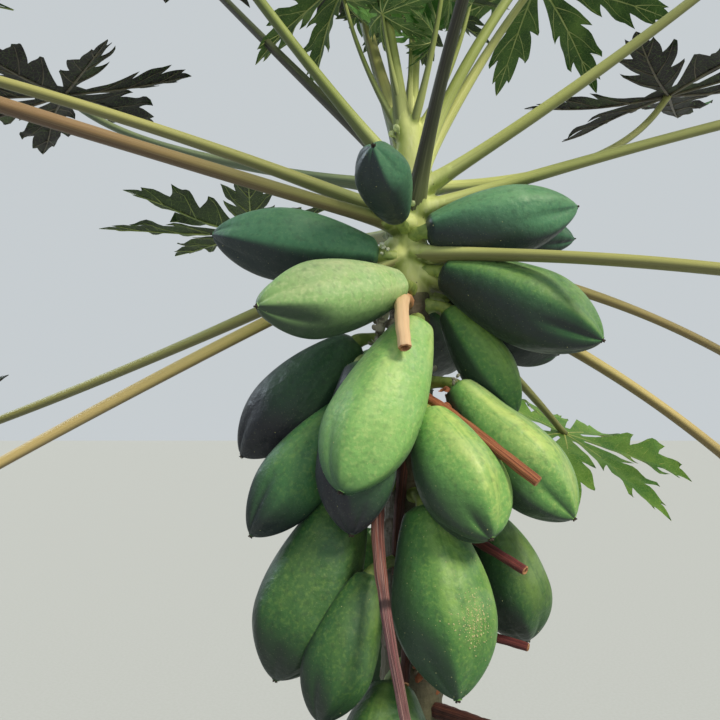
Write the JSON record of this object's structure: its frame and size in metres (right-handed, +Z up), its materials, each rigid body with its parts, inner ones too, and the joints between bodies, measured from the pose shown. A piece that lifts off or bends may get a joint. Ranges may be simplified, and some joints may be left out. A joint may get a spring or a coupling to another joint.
{
  "type": "papaya tree",
  "caption": "Whole papaya tree in fruit: an upright trunk with a flared foot, a crown of long-stalked palmate leaves, and a column of green fruit round the trunk.",
  "frame": {"origin": "centre of the flat cut under the trunk, at ground level", "axes": "+Z up along the trunk, -Y towards the side that the picture was taken from, +X to its right"},
  "size_m": [1.9518, 1.6466, 2.3809],
  "materials": {
    "trunk": "matte",
    "leaf": "satin",
    "fruit": "satin",
    "stub": "matte",
    "fresh_stub": "satin"
  },
  "bodies": {
    "root": {"trunk": "trunk", "leaf_01": "leaf", "leaf_02": "leaf", "leaf_03": "leaf", "leaf_04": "leaf", "leaf_05": "leaf", "leaf_06": "leaf", "leaf_07": "leaf", "leaf_08": "leaf", "leaf_09": "leaf", "leaf_10": "leaf", "leaf_11": "leaf", "leaf_12": "leaf", "leaf_13": "leaf", "leaf_14": "leaf", "leaf_15": "leaf", "leaf_16": "leaf", "leaf_17": "leaf", "leaf_18": "leaf", "leaf_19": "leaf", "leaf_20": "leaf", "leaf_21": "leaf", "leaf_22": "leaf", "leaf_23": "leaf", "fruit_01": "fruit", "fruit_02": "fruit", "fruit_03": "fruit", "fruit_04": "fruit", "fruit_05": "fruit", "fruit_06": "fruit", "fruit_07": "fruit", "fruit_08": "fruit", "fruit_09": "fruit", "fruit_10": "fruit", "fruit_11": "fruit", "fruit_12": "fruit", "fruit_13": "fruit", "fruit_14": "fruit", "fruit_15": "fruit", "fruit_16": "fruit", "fruit_17": "fruit", "fruit_18": "fruit", "fruit_19": "fruit", "fruit_20": "fruit", "fruit_21": "fruit", "fruit_22": "fruit", "fruit_23": "fruit", "fruit_24": "fruit", "fruit_25": "fruit", "fruit_26": "fruit", "fruit_27": "fruit", "fruit_28": "fruit", "stub_01": "fresh_stub", "stub_02": "stub", "stub_03": "stub", "stub_04": "stub", "stub_05": "stub", "stub_06": "stub", "stub_07": "stub", "stub_08": "stub"}
  },
  "joints": []
}
